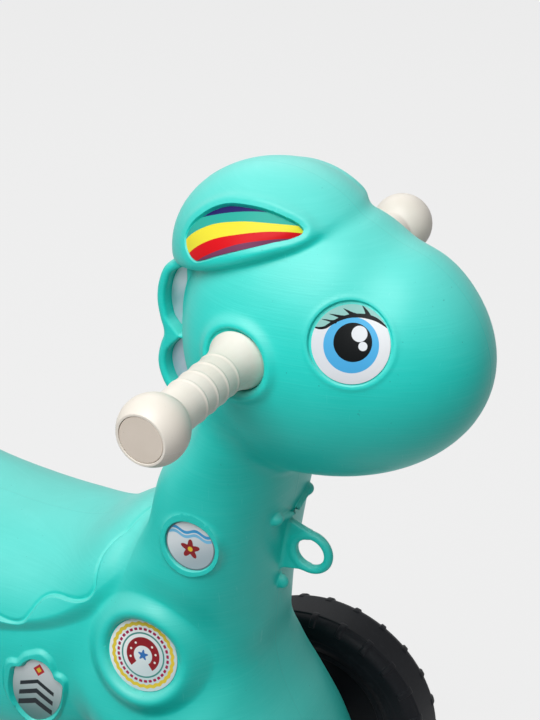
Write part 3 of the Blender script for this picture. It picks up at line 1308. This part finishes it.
def mane_film(label, part, finish):
    """The silver panel on the floor of a mane pocket: a ruled sheet between the pocket's front and rear."""
    x = np.linspace(-0.086, -0.050, 1200)
    z = np.linspace(-0.082, 0.040, 800)
    rows = np.flatnonzero((mane_pocket(*np.meshgrid(x, z), part) < -0.0024).any(axis=1))
    level = np.linspace(0.0, math.pi, 70)
    heights = (z[rows[0]] + z[rows[-1]]) / 2 - (z[rows[-1]] - z[rows[0]]) / 2 * np.cos(level)
    depth = mane_pocket(*np.meshgrid(x, heights), part)
    low = x[(depth < -0.0006).argmax(axis=1)]
    high = x[len(x) - 1 - (depth < -0.0022)[:, ::-1].argmax(axis=1)]
    good = high > low
    low, high, heights = low[good], high[good], heights[good]
    share = np.linspace(0.0, 1.0, 12)
    across = low[:, None] + (high - low)[:, None] * share
    floor = -(MANE_HALF_WIDTH - MANE_POCKET)
    top = np.stack([across, np.full(across.shape, floor - PRINT), heights[:, None] + 0 * across], axis=-1)
    index = np.arange(across.size).reshape(across.shape)
    quads = np.stack([index[:-1, :-1], index[:-1, 1:], index[1:, 1:], index[1:, :-1]], axis=-1).reshape(-1, 4)
    rim = np.concatenate([index[0], index[1:, -1], index[-1, -2::-1], index[-2:0:-1, 0]])
    top = top.reshape(-1, 3)
    facing = np.tile((0.0, -1.0, 0.0), (len(top), 1))
    thin_sheet("mane_panel_" + label, top, np.array((0.0, PRINT - PRINT_GAP, 0.0)), triangles(quads), rim,
               finish, "silver_print", top[:, [0, 2]] * 1000.0, {}, facing)


def prints():
    """Every sticker on both sides of the body."""
    print_film("eye", round_outline(EYE_RADIUS), (0, 0), EYE_PLACE, 72, eye_finish(), "eye_print", eye_marks)
    print_film("forelock_stripes", STRIPE_OUTLINE.outline * 0.995, (-0.006, -0.002), STRIPE_PLACE, 64,
               stripe_finish(), "stripe_print", stripe_marks)
    print_film("neck_badge", round_outline(NECK_BADGE_RADIUS, 192), (0, 0), NECK_BADGE_PLACE, 44,
               neck_badge_finish(), "badge_print", flower_marks)
    print_film("shoulder_badge", round_outline(SHOULDER_BADGE_RADIUS), (0, 0), SHOULDER_BADGE_PLACE, 70,
               shoulder_badge_finish(), "badge_print", horseshoe_marks)
    print_film("flank_shield", SHIELD_OUTLINE.outline * 0.99, (0, 0), SHIELD_PLACE, 24, shield_finish(),
               "shield_print", roll=SHIELD_ROLL)
    silver = silver_finish()
    for label, part in (("upper", 1), ("lower", -1)):
        mane_film(label, part, silver)


# The handle's grips


def grip_line():
    """The grip's outline: a flare that fades to the shaft, four ridges, a flat-ended knob, well and bore."""
    y = np.arange(FLARE_SEAT + 0.0012, KNOB_CENTRE + KNOB_END - 0.0010, 0.0004)
    spread = np.clip((0.0885 - y) / 0.0205, 0.0, 1.0)
    shaft = GRIP_RADIUS + (FLARE_RADIUS - GRIP_RADIUS) * spread ** 2
    for ridge in GRIP_RIDGES:
        shaft = shaft + GRIP_RIDGE * bump(y, ridge, 0.00095)
    ball = np.sqrt(np.clip(KNOB_RADIUS ** 2 - (y - KNOB_CENTRE) ** 2, 0.0, 1.0))
    outer = -melt(-shaft, -ball, 0.0010)
    end = KNOB_CENTRE + KNOB_END
    bore, well = ROD_RADIUS + CLEARANCE, CAP_RADIUS + CLEARANCE
    rim = math.sqrt(KNOB_RADIUS ** 2 - KNOB_END ** 2)
    floor = end - CAP_THICKNESS - 2 * CLEARANCE
    corners = [(bore, FLARE_SEAT, 0.0003), (FLARE_RADIUS, FLARE_SEAT, 0.0008)]
    corners += [(radius, along, 0.0) for radius, along in zip(outer.tolist(), y.tolist())]
    corners += [(rim, end, 0.0006), (well, end, 0.0003), (well, floor, 0.0), (bore, floor, 0.0)]
    return eased(corners)


def cap_line():
    """The grip's end cap: a flat disc with eased edges."""
    end = KNOB_CENTRE + KNOB_END - CLEARANCE
    start = end - CAP_THICKNESS
    return eased([(0.0, start, 0.0), (CAP_RADIUS, start, 0.0003), (CAP_RADIUS, end, 0.0005), (0.0, end, 0.0)])


def grips():
    """A ridged grip and its end cap on either side of the head."""
    for side, sign in SIDES.items():
        grip, cap = (turned(line, 112, np.zeros(3), sign) for line in (grip_line(), cap_line()))
        piece(side + "_ridged_grip", side + "_grip", *grip, CREAM, "cream_plastic")
        piece(side + "_end_cap", side + "_grip_cap", *cap, CAP, "cap_plastic")


# Wheels and axles


def crowded(low, high, count, crowds, spread, pull):
    """Samples from low to high, count of them, closer together near the crowds."""
    fine = np.linspace(low, high, 6000)
    weight = 1.0 + pull * sum(bump(fine, crowd, spread) for crowd in crowds)
    reach = np.concatenate([[0.0], np.cumsum((weight[1:] + weight[:-1]) / 2)])
    return np.interp(np.linspace(0.0, reach[-1], count, endpoint=False), reach, fine)


def tyre_grid(side):
    """A tyre's skin: its cross-section carried round the axle, and raised along its own facing.

    With a the distance across from the middle of the tread, the tread band stands 0.8 mm up to a = 11 mm and
    the lugs stand 1.3 mm from 8 to 21 mm, which leaves long shallow pads between the lugs. A fine ring stands
    0.5 mm on each sidewall at a = 31 mm.
    """
    corners = [(TYRE_BORE, -TYRE_BEAD_HALF_WIDTH, 0.0008), (0.0650, -TYRE_HALF_WIDTH + 0.0001, 0.0040),
               (CARCASS_RADIUS, -TYRE_HALF_WIDTH + 0.0001, 0.0085)]
    half = eased(corners + [(r, -y, f) for r, y, f in reversed(corners)], 24)
    reach = run_along(half)
    middle = np.interp(0.0, half[:, 1], reach)
    edges = [sign * a for a in (0.0087, 0.0112, 0.0210) for sign in (-1, 1)]
    total = reach[-1] + np.linalg.norm(half[0] - half[-1])
    closed = np.vstack([half, half[:1]])
    at = crowded(0.0, total, 118, [middle + edge for edge in edges], 0.0007, 4.0)
    line = np.stack([np.interp(at, np.append(reach, total), closed[:, k]) for k in (0, 1)], axis=1)
    across = at - middle
    slope = np.roll(line, -1, axis=0) - np.roll(line, 1, axis=0)
    facing = unit(np.stack([slope[:, 1], -slope[:, 0]], axis=1))

    lug = crowded(0.0, 1.0, 16, (0.03, 0.225), 0.035, 5.0)
    turn = (np.arange(LUGS)[:, None] + lug).ravel() / LUGS
    share = (turn * LUGS) % 1.0
    raised = (fade(share, 0.0, 0.060) * (1.0 - fade(share, 0.20, 0.250)))[:, None]
    a = np.abs(across)[None, :]
    band = BAND_STAND * (1.0 - fade(a, 0.0108, 0.0116))
    reach_of_lug = fade(a, 0.0082, 0.0092) * (1.0 - fade(a, 0.0205, 0.0215))
    ring = 0.0005 * bump(a, 0.0310, 0.0007)
    height = band + ring + (BAND_STAND + LUG_STAND - band) * raised * reach_of_lug
    radius = line[None, :, 0] + facing[None, :, 0] * height
    along = line[None, :, 1] + facing[None, :, 1] * height
    angle = (math.tau * turn)[:, None]
    return np.stack([radius * np.cos(angle), side * along, radius * np.sin(angle)], axis=-1)


def hub_line():
    """A hub: a boss about the axle, a thin web and a rim under the tyre's bead."""
    rim, web, width = TYRE_BORE - CLEARANCE, HUB_WEB / 2, TYRE_BEAD_HALF_WIDTH - 0.001
    bore, inner = AXLE_RADIUS + CLEARANCE, TYRE_BORE - CLEARANCE - HUB_RIM
    inboard = TRACK_HALF - (BOSS_FACE + 2 * CLEARANCE + BUSH_FLANGE)
    return eased([
        (bore, -inboard, 0.0004), (HUB_BOSS_RADIUS, -inboard, 0.0010), (HUB_BOSS_RADIUS, -web, 0.0024),
        (inner, -web, 0.0030), (inner, -width, 0.0016), (rim, -width, 0.0006), (rim, width, 0.0006),
        (inner, width, 0.0016), (inner, web, 0.0030), (HUB_BOSS_RADIUS, web, 0.0024),
        (HUB_BOSS_RADIUS, HUB_BOSS_OUTBOARD, 0.0010), (bore, HUB_BOSS_OUTBOARD, 0.0004)])


def cap_dome():
    """A shallow dome: its rim, its rounded shoulder and its hollow back."""
    wall, dome = 0.0024, 0.0040
    ceiling = AXLE_END + 0.0015 - TRACK_HALF
    crown, seat, inside = ceiling + wall, HUB_WEB / 2 + CLEARANCE, HUB_CAP_RADIUS - wall
    return eased([
        (0.0, crown, 0.0), (0.45 * HUB_CAP_RADIUS, crown - 0.10 * dome, 0.0300),
        (0.86 * HUB_CAP_RADIUS, crown - 0.62 * dome, 0.0070), (HUB_CAP_RADIUS, crown - dome - 0.001, 0.0016),
        (HUB_CAP_RADIUS, seat, 0.0005), (inside, seat, 0.0004), (inside, ceiling - dome, 0.0020),
        (0.5 * inside, ceiling, 0.0060), (0.0, ceiling, 0.0)], 8)


def bush_line():
    """A sleeve in the leg's bore with a flange over the boss's face."""
    face, bore = BOSS_FACE + CLEARANCE, AXLE_RADIUS + CLEARANCE
    return eased([
        (bore, BOSS_FACE - BUSH_DEPTH, 0.0003), (BUSH_RADIUS, BOSS_FACE - BUSH_DEPTH, 0.0006),
        (BUSH_RADIUS, face, 0.0002), (BUSH_FLANGE_RADIUS, face, 0.0004),
        (BUSH_FLANGE_RADIUS, face + BUSH_FLANGE, 0.0008), (bore, face + BUSH_FLANGE, 0.0004)])


def axle_line():
    """A plain bar with eased ends."""
    return eased([(0.0, -AXLE_END, 0.0), (AXLE_RADIUS, -AXLE_END, 0.0006), (AXLE_RADIUS, AXLE_END, 0.0006),
                  (0.0, AXLE_END, 0.0)])


def running_gear():
    """Two axles, and on either end of each a tyre, a hub, a hub cap and a bush."""
    for end, centre in AXLES.items():
        axis = np.array((centre[0], 0.0, centre[2]))
        piece(end + "_axle_bar", end + "_axle", *turned(axle_line(), 48, axis, 1), STEEL, "zinc_steel")
        for side, sign in SIDES.items():
            label = end + "_" + side
            wheel = label + "_wheel"
            middle = axis + (0.0, sign * TRACK_HALF, 0.0)
            parts = (
                ("_lugged_tyre", "_tyre", woven(tyre_grid(sign), middle), TYRE, "tyre_plastic", wheel),
                ("_dished_hub", "_hub", turned(hub_line(), 120, middle, sign), HUB, "hub_plastic", wheel),
                ("_domed_cap", "_hub_cap", turned(cap_dome(), 96, middle, sign), TEAL, "teal_plastic", wheel),
                ("_flanged_bush", "_bush", turned(bush_line(), 64, axis, sign), BUSH, "bush_plastic", "body"),
            )
            for name, node, surface, finish, slot, body in parts:
                piece(label + name, label + node, *surface, finish, slot, body)


def carried_over():
    """Better materials on the frame's own pieces that no new piece stands for."""
    names = ["handle_rod"] + [side + "_grip_screw" for side in SIDES]
    names += [f"{end}_{side}_{part}" for end in AXLES for side in SIDES for part in ("washer", "push_nut")]
    for name in names:
        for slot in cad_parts[name].material_slots:
            slot.material = STEEL.material


body_piece()
prints()
grips()
running_gear()
carried_over()

# Stage
FLOOR_HALF = 8.0
CAMERA_AT = (0.60605, -0.8489, 0.946)
CAMERA_FACES = (-0.4233, 0.7775, -0.4650)
CAMERA_LENS = 88.56
BACKGROUND = 0.863
FILL = 0.12
FLOOR_SHARE = 0.14
FLOOR_GLOW = 0.950
LAMPS_AIM = (0.0, 0.0, 0.35)


def seen_straight(nodes):
    """1 for rays from the camera, from gloss and through glass, and 0 for the rays that carry light."""
    rays = [nodes.node("ShaderNodeLightPath", output=label)
            for label in ("Is Camera Ray", "Is Glossy Ray", "Is Transmission Ray")]
    return rays[0].maths("MAXIMUM", rays[1]).maths("MAXIMUM", rays[2])


def floor():
    """A wide pale floor that shows the backdrop's brightness with a share of real shading for the shadow."""
    mesh = bpy.data.meshes.new("floor")
    corners = [(x * FLOOR_HALF, y * FLOOR_HALF, 0.0) for x, y in ((-1, -1), (1, -1), (1, 1), (-1, 1))]
    mesh.from_pydata(corners, [], [(0, 1, 2, 3)])
    made = in_scene("floor", mesh)
    finish = Finish("floor", roughness=0.9, specular_ior_level=0.1)
    where = finish.place()
    finish.feed(base_color=finish.mix(finish.noise(where, 3.0), tint("AEAEAE"), tint("B2B2B2")))
    glow = finish.node("ShaderNodeEmission", inputs={"Color": (FLOOR_GLOW, FLOOR_GLOW, FLOOR_GLOW, 1.0)})
    surface = Value(finish, finish.shader.outputs[0])
    factor = seen_straight(finish) * (1.0 - FLOOR_SHARE)
    mixed = finish.node("ShaderNodeMixShader", inputs={0: factor, 1: surface, 2: glow})
    finish.tree.links.new(mixed.socket, finish.tree.nodes["Material Output"].inputs["Surface"])
    mesh.materials.append(finish.material)


def studio():
    """A plain pale room: the backdrop's brightness where it is seen, and a weaker fill light from it."""
    world = bpy.data.worlds.new("studio")
    world.use_nodes = True
    nodes = Nodes(world.node_tree)
    strength = FILL + seen_straight(nodes) * (BACKGROUND - FILL)
    world.node_tree.links.new(strength.socket, world.node_tree.nodes["Background"].inputs["Strength"])
    world.node_tree.nodes["Background"].inputs["Color"].default_value = (1.0, 1.0, 1.0, 1.0)
    bpy.context.scene.world = world


def softbox(name, at, watts, size):
    """A round lamp of a size, turned towards the middle of the toy."""
    lamp = bpy.data.lights.new(name, "AREA")
    lamp.energy = watts
    lamp.shape = "DISK"
    lamp.size = size
    made = in_scene(name, lamp)
    made.location = at
    made.rotation_euler = (Vector(LAMPS_AIM) - Vector(at)).to_track_quat("-Z", "Y").to_euler()


floor()
studio()
softbox("overhead", (0.12, -1.00, 1.97), 43.0, 1.8)
softbox("behind", (-0.50, 1.25, 1.50), 6.5, 1.5)

camera = bpy.data.cameras.new("camera")
camera.sensor_width = 36.0
camera.lens = CAMERA_LENS
viewer = in_scene("camera", camera)
viewer.location = CAMERA_AT
viewer.rotation_euler = Vector(CAMERA_FACES).to_track_quat("-Z", "Y").to_euler()
bpy.context.scene.camera = viewer
bpy.context.scene.view_settings.view_transform = "Standard"
